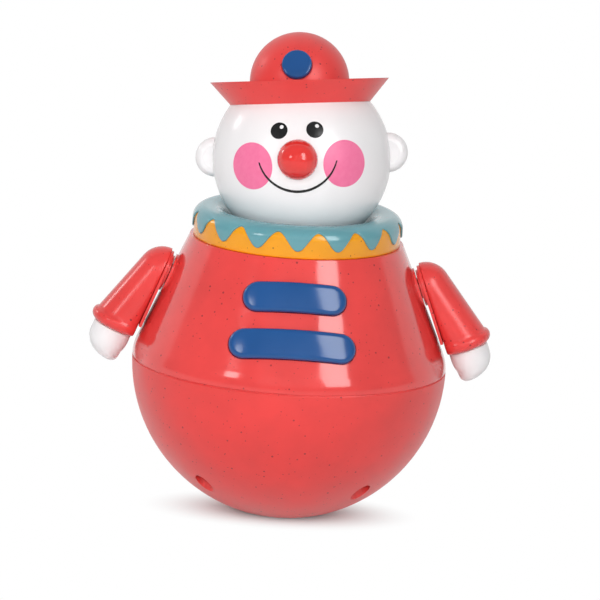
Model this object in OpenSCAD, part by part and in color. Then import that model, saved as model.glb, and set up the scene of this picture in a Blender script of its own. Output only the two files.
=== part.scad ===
// Roly poly clown: a weighted round base under a coned body, a ball head in a collar and two turning arms.
// The toy faces -Y and stands on Z = 0. Left and right are the toy's own, so its left arm is on +X.

/* [Case] */
// Radius of the round base, and of the body at the seam
base_r = 59; // [56:0.5:62]
// Radius of the flat land that the toy stands on
land_r = 11.8; // [9:0.2:14]
// Wall thickness of the two case shells
wall = 2.5; // [2.2:0.1:3]
// Height of the coned body above the seam
cone_h = 47; // [45:0.5:50]
// Radius of the coned body at its top deck
cone_top_r = 40; // [39:0.25:42]
// Radius of the blend from the cone into the seam
blend_r = 16; // [12:0.5:22]
// Radius of the circle that the case screws stand on
case_screw_ring_r = 41; // [40:0.5:42]
// Radius of the deep screw holes under the base
screw_well_r = 3.5; // [3:0.1:4]
// Height of the screw shelf above the ground
screw_shelf_z = 34; // [30:1:38]

/* [Weight and chime] */
// Radius of the cast ballast weight
ballast_r = 34; // [32:0.25:34.5]
// Height of the flat top of the ballast weight
ballast_top_z = 16; // [14:0.5:18]
// Height of the legs that carry the chime plate
chime_leg_h = 44; // [42:0.5:48]
// Radius of the circle that the chime rods hang on
chime_ring_r = 18; // [17:0.5:20]
// Length of the longest chime rod below its plate
chime_rod_l = 38; // [35:0.5:40]
// Radius of the striker ball
striker_ball_r = 6; // [5:0.25:6.5]
// Distance from the striker's pin to the centre of its ball
striker_l = 24; // [22:0.5:26]

/* [Chest pads] */
// Height of the upper pad's centre above the seam
upper_pad_h = 33.8; // [33:0.2:35]
// Width of the upper pad
upper_pad_w = 38.2; // [36:0.2:42]
// Height of the lower pad's centre above the seam
lower_pad_h = 17.6; // [17:0.2:19]
// Width of the lower pad
lower_pad_w = 46.8; // [44:0.2:50]
// Height of both pads along the slope
pad_slope_h = 11.2; // [10:0.2:12]
// How far the pads stand proud of the cone
pad_proud = 2.2; // [1.5:0.1:3]

/* [Collar] */
// Outer radius of the collar cap
collar_r = 39.4; // [38.8:0.1:39.6]
// Height of the collar above the body deck
collar_h = 11.4; // [11:0.1:12]
// Radius of the collar cap's round outer top edge
collar_round_r = 5; // [4.5:0.1:5.5]
// Number of drops along the cap's wavy skirt
drop_count = 16; // [12:1:18]
// Height of the drop tips above the body deck
drop_tip_h = 3.1; // [2.8:0.1:3.6]
// Height of the wave crests between the drops, above the body deck
drop_crest_h = 9.4; // [8.8:0.1:9.6]

/* [Head] */
// Radius of the ball head
head_r = 33.3; // [32.5:0.1:34]
// Height of the head's centre above the body deck
head_rise = 30.5; // [30:0.1:31.5]
// Backward tilt of the head as it stands
head_pitch = 9.5; // [0:0.5:14]
// Sideways lean of the head as it stands, towards its right
head_lean = 5.5; // [0:0.1:6]
// Turn of the head as it stands, towards its right
head_yaw = 2.7; // [0:0.1:10]
// Gap between the head and the collar's bowl
head_gap = 1.6; // [1.2:0.1:2]
// Radius of the neck's ball
ball_r = 9; // [8.5:0.1:10]
// Radius of the nose ball
nose_r = 7.5; // [6.5:0.1:8]
// Radius of the ears
ear_r = 7.4; // [6.5:0.1:8]
// Radius of the printed eyes
eye_r = 3.2; // [2.6:0.1:3.6]
// Radius of the printed cheeks
cheek_r = 8.7; // [8:0.1:9]
// Radius of the printed smile
smile_r = 14.5; // [14:0.1:15]

/* [Hat] */
// Radius of the hat where it meets the head
hat_foot_r = 26.1; // [25:0.1:27]
// Radius of the brim's rim
brim_r = 33.4; // [32.5:0.1:35]
// Height of the rim above the hat's foot
brim_rise = 8.6; // [8:0.1:10]
// Radius of the domed crown
crown_r = 18.6; // [18:0.1:19.4]
// Height of the crown's top above the head's centre
crown_top_h = 47.25; // [46:0.25:48]
// Radius of the button on the crown
button_r = 5.6; // [5:0.1:6]

/* [Arms] */
// Distance of the shoulder axle below the body deck
shoulder_drop = 16.2; // [15.5:0.1:17.5]
// Gap between the cone and the back of the arm at the axle
arm_gap = 1.5; // [1.4:0.1:2]
// Turn of the arm out of the cone's slope, which brings the cuff nearer to the body
arm_toe = 2.5; // [2.2:0.1:3]
// Radius of the round shoulder
shoulder_r = 9.2; // [8.6:0.1:9.8]
// Distance from the axle to the end of the cuff
cuff_reach = 26.6; // [25.5:0.1:27.5]
// Radius of the rolled cuff
cuff_r = 10.8; // [10.4:0.1:11.4]
// Width of the rolled cuff
cuff_w = 5.3; // [4.6:0.1:6]
// Distance from the axle to the tip of the hand
hand_reach = 39; // [38:0.1:40]
// Radius of the shoulder axle
axle_r = 4; // [3.6:0.1:4.4]

/* [Hidden] */
$fn = 96;
hull_fn = 32;

// Colours of the mouldings, prints and metal
coral = "#EF524D";
yellow = "#F2A81E";
teal = "#5F9CA5";
blue = "#2B5F9B";
white = "#EFEDF0";
red = "#EF4740";
pink = "#F97FA8";
black = "#17171B";
iron = "#4A4A4C";
steel = "#B9BCC0";
natural = "#D9D6CC";

// Overrun of every cut, running clearance of a shaft or ball, and clearance of pieces that stay apart
cut = 1;
fit = 0.05;
play = 0.3;

// Screws: thread, head and the material left around them
screw_r = 1.5;
screw_head_r = 2.8;
screw_head_t = 2;
screw_grip = 12;
boss_wall = 2.9;

// Case levels, blend and cone
seam_z = sqrt(pow(base_r, 2) - pow(land_r, 2));
deck_z = seam_z + cone_h;
blend_x = base_r - blend_r;
cone_reach = norm([cone_top_r - blend_x, cone_h]);
cone_tilt = atan2(cone_h, cone_top_r - blend_x) - acos(blend_r / cone_reach);
groove_r = 0.35;

// Lip that centres the two shells, and the posts that the case screws pull together
lip_t = 1.6;
lip_h = 3;
lip_gap = 0.7;
screw_shelf_t = 3;
case_screw_count = 4;
case_screw_turn = 180 / case_screw_count;
post_top_z = screw_shelf_z + screw_shelf_t;
post_wall = 2;
post_r = screw_well_r + post_wall;
case_boss_r = screw_r + boss_wall;

// Ballast seat and chime stand
stand_ring_r = 26;
stand_boss_r = screw_r + wall;
stand_boss_drop = 1;
stand_screws = 3;
stand_foot_r = 5;
stand_foot_t = 2.5;
stand_leg_r = 2.8;
stand_rim = 1;
stand_leg_ring_r = stand_ring_r + screw_head_r + stand_leg_r + play;
stand_plate_t = 3;
stand_plate_z = ballast_top_z + chime_leg_h;
chime_rod_r = 1.5;
chime_rods_count = 6;
chime_rod_step = 1.2;
pin_r = 1.2;
pin_drop = 5;
lug_t = 2;
lug_w = 6;
striker_hub_r = 3;
striker_hub_w = 5;
striker_stem_r = 1.2;
striker_pin_z = stand_plate_z - pin_drop;

// Well in the deck, and the bush that the neck turns in
well_r = 18;
well_depth = 6.8;
well_floor_z = deck_z - well_depth;
bush_l = 10;
bush_wall = 4;
stem_r = 5;
stem_flange_r = 8;
stem_flange_t = 2;
neck_r = 4;
stem_lift = 0.2;
bush_bottom_z = well_floor_z - wall - bush_l;
stem_bottom_z = bush_bottom_z - stem_lift;
neck_washer_r = stem_r + bush_wall;
washer_t = 1.2;

// Collar ring, and the cap that lies over it like icing
skirt_t = 1.2;
ring_gap = 0.1;
ring_wall = 2;
bowl_wall = 2;
bowl_lip_h = 4;
collar_screw_ring_r = 33;
collar_screws_count = 3;
collar_screw_grip = 9;
crest_round_r = 2.2;
tip_round_r = 1.6;
tip_dip = 0.08;
wave_side_share = 0.96;
drop_pitch = 2 * collar_r * sin(180 / drop_count);

// Head centre, shell and socket
head_z = deck_z + head_rise;
head_wall = 2.4;
bowl_r = head_r + head_gap;
neck_hole_r = 17;
socket_wall = 3;
socket_low = 5.5;
socket_high = 7;
shelf_t = 3;
spigot_r = 9.5;
spigot_wall = 2;
nose_in = 0.5;
nose_peg_r = 3;
nose_peg_l = 7;
ear_in = 1;
ear_up = 1.5;
ear_edge_r = 3.4;
ear_dish = 0.8;
ear_dish_r = 12;

// Prints: ink, eye and cheek directions, eye glint and smile
ink_t = 0.12;
eye_azimuth = 12.1;
eye_elevation = 19;
glint_r = 0.75;
glint_right = 0.9;
glint_up = 1.4;
cheek_azimuth = 31.6;
cheek_elevation = -3.4;
smile_up = 2.7;
smile_end_drop = 0.7;
smile_edge = 0.5;
smile_thin = 0.35;
smile_shift = 0.6;

// Hat shell: foot on the head, brim, crown and the thin floor between them
hat_t = 2.2;
hat_floor_t = 1.2;
hat_foot_h = sqrt(pow(head_r, 2) - pow(hat_foot_r, 2));
crown_h = crown_top_h - crown_r;
hat_floor_r = head_r + hat_floor_t;
spigot_bottom_h = 27;
button_up = hat_foot_h + brim_rise + button_r - crown_h;
button_tilt = asin(button_up / crown_r);
button_seat = 1.3;
button_proud = 1.1;
button_peg_r = 2;
button_peg_l = 4;
button_gap = 0.2;

// Chest pad seats and pegs
pad_gap = 0.25;
pad_seat = 1.2;
pad_peg_r = 1.5;
pad_peg_l = 8;
pad_peg_x = 12;
pad_boss_r = 3;
pad_prism_in = 12;
pad_prism_out = 6;

// Arms: plate, hub, sleeve, cuff and hand, measured outwards from the cone and down from the axle
shoulder_h = cone_h - shoulder_drop;
plate_t = 1.1;
plate_inset = 0.8;
hub_h = 0.9;
hub_r = 7;
shoulder_boss_r = 8;
shoulder_boss_in = 9;
shoulder_boss_out = arm_gap - hub_h - play;
sleeve_wall = 2;
shoulder_rise = 1.2;
cuff_rise = 8;
cuff_centre = arm_gap + cuff_rise;
cuff_roll = 0.8;
hand_step = 1.4;
hand_back = arm_gap + hand_step;
hand_width = 7.9;
wrist_r = 6.4;
wrist_in = 7;
palm_r = 7.7;
palm_out = 7.6;
palm_centre = hand_back + palm_out;
finger_r = 2.6;
finger_spread = 3.8;
finger_in = 0.9;
washer_rim = 3;
axle_washer_r = axle_r + washer_rim;

// Radius of the cone's straight side at a height above the seam
function cone_side_r(h) = cone_top_r + (cone_h - h) * tan(cone_tilt);

// Half section of the coned body, drawn in by a depth and standing on the seam
module cone_section(depth) {
    touch_r = blend_r - depth;
    touch = [blend_x + touch_r * cos(cone_tilt), touch_r * sin(cone_tilt)];
    top = [cone_top_r - depth / cos(cone_tilt), cone_h];
    intersection() {
        union() {
            polygon([[0, 0], [blend_x, 0], touch, top, [0, cone_h]]);
            translate([blend_x, 0])
                circle(touch_r);
        }
        square([2 * base_r, 2 * cone_h]);
    }
}

// The coned body as a solid, drawn in by a depth
module cone_solid(depth) {
    translate([0, 0, seam_z])
        rotate_extrude()
            cone_section(depth);
}

// Hollow of the coned body: a straight rim at the seam and a sloped wall up to the deck
module cone_room() {
    rim_r = base_r - wall;
    slope_in = wall / cos(cone_tilt);
    rim_h = cone_h - (rim_r + slope_in - cone_top_r) / tan(cone_tilt);
    roof = [cone_side_r(cone_h - wall) - slope_in, cone_h - wall];
    translate([0, 0, seam_z])
        rotate_extrude()
            polygon([[0, -cut], [rim_r, -cut], [rim_r, rim_h], roof, [0, roof.y]]);
}

// Lower ball of the case below the seam, with the given radius
module base_ball(r) {
    intersection() {
        translate([0, 0, seam_z])
            sphere(r);
        cylinder(r = base_r + cut, h = seam_z);
    }
}

// Copies around the toy's axis
module around(count, ring_r, start) {
    for (i = [0 : count - 1])
        rotate(start + i * 360 / count)
            translate([ring_r, 0, 0])
                children();
}

// Shallow groove that marks the seam on both shells
module seam_groove() {
    translate([0, 0, seam_z])
        rotate_extrude()
            translate([base_r, 0])
                circle(groove_r, $fn = hull_fn);
}

// Pan head screw that points up, with its head's bearing face at the origin
module screw(grip) {
    translate([0, 0, -screw_head_t])
        difference() {
            cylinder(r = screw_head_r, h = screw_head_t);
            cross_slot();
        }
    cylinder(r = screw_r, h = grip);
}

// Cross slot in the underside of a screw head
module cross_slot() {
    slot_l = screw_head_r * 4 / 3;
    slot_w = screw_head_r / 4;
    for (turn = [0, 90])
        rotate(turn)
            translate([-slot_l / 2, -slot_w / 2, -cut])
                cube([slot_l, slot_w, cut + screw_head_t / 2]);
}

// Frame of a chest pad: -Y points out of the cone at the front, Z up its slope
module at_pad(h) {
    translate([0, -cone_side_r(h), seam_z + h])
        rotate([-cone_tilt, 0, 0])
            children();
}

// Round-ended bar that cuts or makes a chest pad, grown by a gap
module pad_bar(w, gap) {
    end_r = pad_slope_h / 2 + gap;
    half = w / 2 - pad_slope_h / 2;
    translate([0, pad_prism_in, 0])
        rotate([90, 0, 0])
            linear_extrude(pad_prism_in + pad_prism_out)
                union() {
                    translate([-half, -end_r])
                        square([2 * half, 2 * end_r]);
                    for (side = [-1, 1])
                        translate([side * half, 0])
                            circle(end_r);
                }
}

// Pegs behind a chest pad, or the holes and bosses for them
module pad_pegs(r, depth) {
    for (side = [-1, 1])
        translate([side * pad_peg_x, depth, 0])
            rotate([90, 0, 0])
                cylinder(r = r, h = depth);
}

// Frame of the left arm: X points out of the cone along the axle, -Z down the arm
module at_left_arm() {
    translate([cone_side_r(shoulder_h), 0, seam_z + shoulder_h])
        rotate([0, arm_toe - cone_tilt, 0])
            children();
}

// Frame of either arm: side is 1 for the left and -1 for the right
module at_arm(side) {
    mirror([side < 0 ? 1 : 0, 0, 0])
        at_left_arm()
            children();
}

// Round bar along the axle, from one distance out of the cone to another
module axle_bar(r, from, to) {
    translate([from, 0, 0])
        rotate([0, 90, 0])
            cylinder(r = r, h = to - from);
}

// Frame of the head: origin at its centre, -Y out of the nose, Z out of the crown
module at_head() {
    translate([0, 0, head_z])
        rotate([-head_pitch, -head_lean, -head_yaw])
            children();
}

// Direction on the face, turned so that -Y points along it
module at_face(azimuth, elevation) {
    rotate(azimuth)
        rotate([-elevation, 0, 0])
            children();
}

// Bar that runs out of the face along -Y, from one distance to another
module face_bar(r, from, to) {
    translate([0, -from, 0])
        rotate([90, 0, 0])
            cylinder(r = r, h = to - from);
}

// Layer of ink on the head, cut to the shape of its children
module ink() {
    at_head()
        intersection() {
            difference() {
                sphere(head_r + ink_t);
                sphere(head_r);
            }
            children();
        }
}

module base_shell() {
    color(coral)
        difference() {
            union() {
                difference() {
                    base_ball(base_r);
                    intersection() {
                        base_ball(base_r - wall);
                        translate([0, 0, wall])
                            cylinder(r = base_r, h = base_r);
                    }
                }
                base_lip();
                intersection() {
                    base_ball(base_r - wall / 2);
                    union() {
                        around(case_screw_count, case_screw_ring_r, case_screw_turn)
                            cylinder(r = post_r, h = post_top_z);
                        around(stand_screws, stand_ring_r, 90)
                            cylinder(r = stand_boss_r, h = ballast_top_z - stand_boss_drop);
                    }
                }
            }
            around(case_screw_count, case_screw_ring_r, case_screw_turn) {
                translate([0, 0, -cut])
                    cylinder(r = screw_well_r, h = screw_shelf_z + cut);
                cylinder(r = screw_r + play / 2, h = post_top_z + cut);
            }
            around(stand_screws, stand_ring_r, 90)
                translate([0, 0, ballast_top_z + stand_foot_t - screw_grip])
                    cylinder(r = screw_r + fit, h = screw_grip);
            seam_groove();
        }
}

// Ring inside the base's edge that reaches up into the body
module base_lip() {
    lip_r = base_r - wall - lip_gap;
    translate([0, 0, seam_z - lip_h])
        difference() {
            cylinder(r = lip_r, h = 2 * lip_h);
            translate([0, 0, -cut])
                cylinder(r = lip_r - lip_t, h = 2 * (lip_h + cut));
        }
    translate([0, 0, seam_z - lip_h])
        difference() {
            cylinder(r = base_r - wall / 2, h = lip_h * 2 / 3);
            translate([0, 0, -cut])
                cylinder(r = lip_r - lip_t, h = lip_h + 2 * cut);
        }
}

module body_shell() {
    color(coral)
        difference() {
            union() {
                difference() {
                    cone_solid(0);
                    cone_room();
                }
                body_bosses();
            }
            translate([0, 0, well_floor_z])
                cylinder(r = well_r, h = deck_z);
            translate([0, 0, bush_bottom_z - cut])
                cylinder(r = stem_r + fit, h = deck_z);
            around(case_screw_count, case_screw_ring_r, case_screw_turn)
                translate([0, 0, post_top_z - cut])
                    cylinder(r = screw_r + fit, h = screw_grip + cut);
            around(collar_screws_count, collar_screw_ring_r, 90) {
                translate([0, 0, deck_z - wall - cut])
                    cylinder(r = screw_r + play / 2, h = wall + 2 * cut);
                translate([0, 0, deck_z - wall - screw_head_t - cut])
                    cylinder(r = screw_head_r + play, h = screw_head_t + cut);
            }
            for (side = [-1, 1])
                at_arm(side)
                    axle_bar(axle_r + fit, -shoulder_boss_in - cut, arm_gap);
            pad_pocket(upper_pad_h, upper_pad_w);
            pad_pocket(lower_pad_h, lower_pad_w);
            seam_groove();
        }
}

// Everything that stands inside the body shell: screw bosses, deck well, neck bush and pad bosses
module body_bosses() {
    around(case_screw_count, case_screw_ring_r, case_screw_turn)
        translate([0, 0, post_top_z])
            cylinder(r = case_boss_r, h = seam_z + cut - post_top_z);
    intersection() {
        cone_solid(wall / 2);
        union() {
            around(case_screw_count, case_screw_ring_r, case_screw_turn)
                translate([0, 0, seam_z])
                    cylinder(r = case_boss_r, h = cone_h);
            for (h = [upper_pad_h, lower_pad_h])
                at_pad(h)
                    pad_pegs(pad_boss_r, pad_peg_l + wall);
            translate([0, 0, well_floor_z - wall])
                cylinder(r = well_r + wall, h = deck_z - well_floor_z + wall / 2);
            translate([0, 0, bush_bottom_z])
                cylinder(r = stem_r + bush_wall, h = bush_l + wall);
        }
    }
    for (side = [-1, 1])
        at_arm(side)
            axle_bar(shoulder_boss_r, -shoulder_boss_in, shoulder_boss_out);
}

// Pocket in the cone for a chest pad, with the holes for its pegs
module pad_pocket(h, w) {
    difference() {
        at_pad(h)
            pad_bar(w, pad_gap);
        cone_solid(pad_seat);
    }
    at_pad(h)
        pad_pegs(pad_peg_r + fit, pad_peg_l + fit);
}

module case_screws() {
    color(steel)
        around(case_screw_count, case_screw_ring_r, case_screw_turn)
            translate([0, 0, screw_shelf_z])
                screw(screw_grip);
}

module ballast_weight() {
    color(iron)
        difference() {
            intersection() {
                base_ball(base_r - wall - play);
                translate([0, 0, wall + play])
                    cylinder(r = ballast_r, h = ballast_top_z - wall - play);
            }
            around(stand_screws, stand_ring_r, 90)
                cylinder(r = stand_boss_r + play, h = ballast_top_z + cut);
        }
}

module chime_stand() {
    color(natural)
        difference() {
            union() {
                around(stand_screws, 0, 90)
                    stand_leg();
                translate([0, 0, stand_plate_z])
                    cylinder(r = stand_leg_ring_r + stand_leg_r + stand_rim, h = stand_plate_t);
                for (side = [-1, 1])
                    translate([-lug_w / 2, side * (striker_hub_w + lug_t + play) / 2 - lug_t / 2, 0])
                        translate([0, 0, striker_pin_z - lug_w / 2])
                            cube([lug_w, lug_t, pin_drop + lug_w / 2 + stand_plate_t / 2]);
            }
            around(stand_screws, stand_ring_r, 90)
                translate([0, 0, ballast_top_z - cut])
                    cylinder(r = screw_r + play / 2, h = stand_foot_t + 2 * cut);
            around(chime_rods_count, chime_ring_r, 0)
                translate([0, 0, stand_plate_z - cut])
                    cylinder(r = chime_rod_r + fit, h = stand_plate_t + 2 * cut);
            striker_pin_bar(pin_r + fit, 2 * (striker_hub_w + 2 * lug_t));
        }
}

// Leg of the chime stand with its screwed foot, on the +X side
module stand_leg() {
    translate([0, 0, ballast_top_z])
        linear_extrude(stand_foot_t)
            union() {
                for (x = [stand_ring_r, stand_leg_ring_r])
                    translate([x, 0])
                        circle(stand_foot_r);
                translate([stand_ring_r, -stand_foot_r])
                    square([stand_leg_ring_r - stand_ring_r, 2 * stand_foot_r]);
            }
    translate([stand_leg_ring_r, 0, ballast_top_z])
        cylinder(r = stand_leg_r, h = chime_leg_h + stand_plate_t / 2);
}

// Round bar through the striker's pivot, across the toy's Y axis
module striker_pin_bar(r, l) {
    translate([0, l / 2, striker_pin_z])
        rotate([90, 0, 0])
            cylinder(r = r, h = l);
}

module chime_stand_screws() {
    color(steel)
        around(stand_screws, stand_ring_r, 90)
            translate([0, 0, ballast_top_z + stand_foot_t])
                rotate([180, 0, 0])
                    screw(screw_grip);
}

module chime_rods() {
    color(steel)
        for (i = [0 : chime_rods_count - 1])
            rotate(i * 360 / chime_rods_count)
                translate([chime_ring_r, 0, stand_plate_z - chime_rod_l + i * chime_rod_step])
                    cylinder(r = chime_rod_r, h = chime_rod_l - i * chime_rod_step + stand_plate_t);
}

module striker_pin() {
    color(steel)
        striker_pin_bar(pin_r, striker_hub_w + 2 * lug_t + 2 * play);
}

module striker() {
    color(steel)
        difference() {
            union() {
                striker_pin_bar(striker_hub_r, striker_hub_w);
                translate([0, 0, striker_pin_z - striker_l])
                    cylinder(r = striker_stem_r, h = striker_l);
                translate([0, 0, striker_pin_z - striker_l])
                    sphere(striker_ball_r);
            }
            striker_pin_bar(pin_r + fit, striker_hub_w + 2 * cut);
        }
}

// A chest pad: a bar cut from the skin that stands proud of the cone, with two pegs behind it
module chest_pad(h, w) {
    color(blue) {
        intersection() {
            at_pad(h)
                pad_bar(w, 0);
            difference() {
                cone_solid(-pad_proud);
                cone_solid(pad_seat - fit);
            }
        }
        intersection() {
            at_pad(h)
                pad_pegs(pad_peg_r, pad_peg_l);
            cone_solid(0);
        }
    }
}

module upper_chest_pad() {
    chest_pad(upper_pad_h, upper_pad_w);
}

module lower_chest_pad() {
    chest_pad(lower_pad_h, lower_pad_w);
}

// Half outline of the collar on the deck, drawn in by a depth
module collar_outline(depth) {
    core_r = collar_r - collar_round_r;
    square([core_r, collar_h - depth]);
    square([collar_r - depth, collar_h - collar_round_r]);
    translate([core_r, collar_h - collar_round_r])
        circle(collar_round_r - depth);
}

// Half section of a bowl around the head, seen from the deck
module head_bowl(r) {
    translate([0, head_rise])
        circle(r);
}

// Half section of the collar ring without its hollow, grown by a gap
module ring_section(gap) {
    difference() {
        collar_outline(skirt_t + ring_gap - gap);
        head_bowl(bowl_r + bowl_wall + ring_gap - gap);
    }
}

module collar_ring() {
    top_h = collar_h - skirt_t - ring_gap;
    hollow_r = collar_r - skirt_t - ring_gap - ring_wall;
    color(yellow)
        translate([0, 0, deck_z])
            difference() {
                union() {
                    rotate_extrude()
                        difference() {
                            ring_section(0);
                            difference() {
                                translate([0, -cut])
                                    square([hollow_r, top_h - ring_wall + cut]);
                                head_bowl(bowl_r + bowl_wall + ring_gap + ring_wall);
                            }
                        }
                    around(collar_screws_count, collar_screw_ring_r, 90)
                        cylinder(r = screw_r + ring_wall, h = top_h - ring_wall / 2);
                }
                around(collar_screws_count, collar_screw_ring_r, 90)
                    translate([0, 0, -cut])
                        cylinder(r = screw_r + fit, h = collar_screw_grip - wall + cut);
            }
}

// One wave of yellow that shows under the skirt: crest and tip arcs joined by their common tangent
module wave_window() {
    crest = [0, drop_crest_h - crest_round_r];
    tip = [drop_pitch / 2, drop_tip_h + tip_round_r - tip_dip];
    span = tip - crest;
    lean = atan2(span.y, span.x) + acos((crest_round_r + tip_round_r) / norm(span));
    run = wave_side_share * [cos(lean), sin(lean)];
    edge = [[tip.x, 0], tip, tip - tip_round_r * run, crest + crest_round_r * run];
    difference() {
        union() {
            polygon([for (p = edge) p, for (i = [len(edge) - 1 : -1 : 0]) [-edge[i].x, edge[i].y]]);
            translate(crest)
                circle(crest_round_r);
        }
        for (side = [-1, 1])
            translate([side * tip.x, tip.y])
                circle(tip_round_r);
    }
}

module collar_cap() {
    color(teal)
        translate([0, 0, deck_z])
            difference() {
                rotate_extrude()
                    difference() {
                        collar_outline(0);
                        ring_section(ring_gap);
                        head_bowl(bowl_r);
                        square([collar_r - collar_round_r, bowl_lip_h]);
                        square([2 * collar_r, drop_tip_h]);
                    }
                for (i = [0 : drop_count - 1])
                    rotate((i + 0.5) * 360 / drop_count - 90)
                        translate([collar_r - skirt_t - ring_wall, 0, 0])
                            rotate([90, 0, 90])
                                linear_extrude(2 * ring_wall + skirt_t)
                                    wave_window();
            }
}

module collar_screws() {
    color(steel)
        around(collar_screws_count, collar_screw_ring_r, 90)
            translate([0, 0, deck_z - wall])
                screw(collar_screw_grip);
}

module neck_stem() {
    color(natural)
        difference() {
            union() {
                translate([0, 0, stem_bottom_z])
                    cylinder(r = stem_r, h = well_floor_z + stem_lift - stem_bottom_z);
                translate([0, 0, well_floor_z + stem_lift])
                    cylinder(r = stem_flange_r, h = stem_flange_t);
                translate([0, 0, well_floor_z])
                    cylinder(r = neck_r, h = head_z - well_floor_z);
                translate([0, 0, head_z])
                    sphere(ball_r);
            }
            translate([0, 0, stem_bottom_z - cut])
                cylinder(r = screw_r + fit, h = screw_grip + cut);
        }
}

module neck_washer() {
    color(steel)
        translate([0, 0, stem_bottom_z - washer_t])
            difference() {
                cylinder(r = neck_washer_r, h = washer_t);
                translate([0, 0, -cut])
                    cylinder(r = screw_r + play / 2, h = washer_t + 2 * cut);
            }
}

module neck_screw() {
    color(steel)
        translate([0, 0, stem_bottom_z - washer_t])
            screw(screw_grip);
}

// Whole head before it is parted through the ears
module head_ball() {
    difference() {
        union() {
            difference() {
                union() {
                    sphere(head_r);
                    for (side = [-1, 1])
                        mirror([side < 0 ? 1 : 0, 0, 0])
                            ear();
                }
                sphere(head_r - head_wall);
            }
            intersection() {
                sphere(head_r - head_wall / 2);
                translate([0, 0, -shelf_t / 2])
                    cylinder(r = head_r, h = shelf_t);
            }
            translate([0, 0, -socket_low])
                cylinder(r = ball_r + socket_wall, h = socket_low + socket_high);
        }
        sphere(ball_r + fit);
        translate([0, 0, -head_r - cut])
            cylinder(r = neck_hole_r, h = head_r / 2);
        translate([0, 0, head_r / 2])
            cylinder(r = spigot_r + fit, h = head_r);
        face_bar(nose_peg_r + fit, head_r / 2, head_r + cut);
    }
}

// Ear on the +X side: a flat pebble with a dished front
module ear() {
    translate([head_r - ear_in, 0, ear_up])
        difference() {
            rotate([90, 0, 0]) {
                rotate_extrude()
                    translate([ear_r - ear_edge_r, 0])
                        circle(ear_edge_r);
                translate([0, 0, -ear_edge_r])
                    cylinder(r = ear_r - ear_edge_r, h = 2 * ear_edge_r);
            }
            translate([0, -ear_edge_r - ear_dish_r + ear_dish, 0])
                sphere(ear_dish_r);
        }
}

// Half of the head: side is -1 for the face and 1 for the back
module head_half(side) {
    reach = head_r + 2 * ear_r;
    color(white)
        at_head()
            intersection() {
                head_ball();
                translate([-reach, side < 0 ? -reach : 0, -reach])
                    cube([2 * reach, reach, 2 * reach]);
            }
}

module head_front() {
    head_half(-1);
}

module head_back() {
    head_half(1);
}

module nose() {
    color(red)
        at_head()
            rotate([90, 0, 0])
                rotate_extrude()
                    intersection() {
                        union() {
                            difference() {
                                translate([0, head_r - nose_in])
                                    circle(nose_r);
                                circle(head_r + fit);
                            }
                            translate([0, head_r - nose_peg_l])
                                square([nose_peg_r, nose_peg_l + nose_r / 2]);
                        }
                        square([head_r, 2 * head_r]);
                    }
}

module eye_prints() {
    color(black)
        ink()
            for (side = [-1, 1])
                at_face(side * eye_azimuth, eye_elevation)
                    difference() {
                        face_bar(eye_r, head_r / 2, head_r + cut);
                        translate([glint_right, 0, glint_up])
                            face_bar(glint_r, head_r / 2 - cut, head_r + 2 * cut);
                    }
}

module cheek_prints() {
    color(pink)
        ink()
            difference() {
                for (side = [-1, 1])
                    at_face(side * cheek_azimuth, cheek_elevation)
                        face_bar(cheek_r, head_r / 2, head_r + cut);
                smile_bar();
            }
}

// Smile seen from the front: a crescent of two circles, cut off at its ends
module smile_bar() {
    outer_r = smile_r + smile_edge;
    rotate([90, 0, 0])
        linear_extrude(head_r + cut)
            intersection() {
                difference() {
                    translate([0, smile_up])
                        circle(outer_r);
                    translate([0, smile_up + smile_shift])
                        circle(outer_r - smile_thin);
                }
                translate([-head_r, -head_r - smile_end_drop])
                    square([2 * head_r, head_r]);
            }
}

module smile_print() {
    color(black)
        ink()
            smile_bar();
}

// Half section of the hat above the head's centre, before the hollow is cut
module hat_section() {
    foot = [hat_foot_r, hat_foot_h];
    run = [brim_r - hat_foot_r, brim_rise];
    side = [-run.y, run.x] / norm(run) * hat_t;
    rim = foot + side + run * (1 - side.y / run.y);
    polygon([foot, foot + run, rim, foot + side, [0, hat_foot_h]]);
    intersection() {
        circle(hat_floor_r);
        translate([0, hat_foot_h])
            square([hat_foot_r, head_r]);
    }
    intersection() {
        translate([0, crown_h])
            circle(crown_r);
        translate([0, hat_foot_h])
            square([2 * crown_r, 2 * crown_r]);
    }
}

// Frame of the hat button: -Y points out of the crown's front
module at_button() {
    translate([0, 0, crown_h])
        rotate([-button_tilt, 0, 0])
            children();
}

module hat() {
    color(coral)
        at_head()
            difference() {
                union() {
                    difference() {
                        rotate_extrude()
                            hat_section();
                        sphere(head_r + fit);
                        translate([0, 0, crown_h])
                            sphere(crown_r - hat_t);
                    }
                    translate([0, 0, spigot_bottom_h])
                        difference() {
                            cylinder(r = spigot_r, h = crown_top_h - hat_t - spigot_bottom_h - spigot_wall);
                            translate([0, 0, -cut])
                                cylinder(r = spigot_r - spigot_wall, h = crown_top_h);
                        }
                }
                at_button() {
                    face_bar(button_r + button_gap, crown_r - button_seat, 2 * crown_r);
                    face_bar(button_peg_r + fit, crown_r - button_seat - button_peg_l, crown_r);
                }
            }
}

module hat_button() {
    color(blue)
        at_head()
            at_button() {
                face_bar(button_r, crown_r - button_seat, crown_r + button_proud);
                face_bar(button_peg_r, crown_r - button_seat - button_peg_l, crown_r);
            }
}

// Flat outline of the arm's back plate: round shoulder, tangent sides and a straight end above the cuff
module plate_outline(inset) {
    r = shoulder_r - inset;
    corner = [cuff_r - cuff_roll - inset, cuff_w - cuff_reach];
    turn = atan2(corner.y, corner.x) + acos(r / norm(corner));
    touch = [r * cos(turn), r * sin(turn)];
    circle(r);
    polygon([touch, corner, [-corner.x, corner.y], [-touch.x, touch.y]]);
}

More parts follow.
